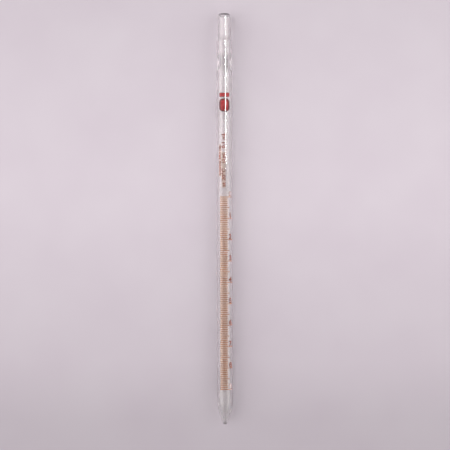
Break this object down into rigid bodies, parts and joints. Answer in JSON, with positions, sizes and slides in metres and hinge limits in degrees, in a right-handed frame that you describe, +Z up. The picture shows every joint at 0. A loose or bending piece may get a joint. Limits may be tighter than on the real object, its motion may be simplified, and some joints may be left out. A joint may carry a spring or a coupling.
{
  "type": "graduated glass pipette",
  "caption": "Straight glass measuring pipette with a tapered jet, a waisted plug seat, a narrower mouthpiece, a fired scale with figures and red code marks.",
  "frame": {"origin": "centre of the tube's footprint, on the surface it lies on", "axes": "+X along the tube from the jet to the mouth, +Z up from the surface with the scale facing up, -Y the side of the figures"},
  "size_m": [0.31, 0.0118, 0.0117],
  "materials": {
    "borosilicate_glass": "clear, fire-polished",
    "amber_stain": "fired-on amber-brown stain, satin",
    "red_enamel": "fired-on translucent red enamel, gloss"
  },
  "bodies": {
    "root": {"glass_tube": "borosilicate_glass", "line_0_5_mL": "amber_stain", "line_0_mL": "amber_stain", "line_1_5_mL": "amber_stain", "line_1_mL": "amber_stain", "line_2_5_mL": "amber_stain", "line_2_mL": "amber_stain", "line_3_5_mL": "amber_stain", "line_3_mL": "amber_stain", "line_4_5_mL": "amber_stain", "line_4_mL": "amber_stain", "line_5_5_mL": "amber_stain", "line_5_mL": "amber_stain", "line_6_5_mL": "amber_stain", "line_6_mL": "amber_stain", "line_7_5_mL": "amber_stain", "line_7_mL": "amber_stain", "line_8_5_mL": "amber_stain", "line_8_mL": "amber_stain", "line_9_mL": "amber_stain", "numeral_0": "amber_stain", "numeral_1": "amber_stain", "numeral_2": "amber_stain", "numeral_3": "amber_stain", "numeral_4": "amber_stain", "numeral_5": "amber_stain", "numeral_6": "amber_stain", "numeral_7": "amber_stain", "numeral_8": "amber_stain", "numeral_9": "amber_stain", "red_bar": "red_enamel", "red_patch": "red_enamel"}
  },
  "joints": []
}
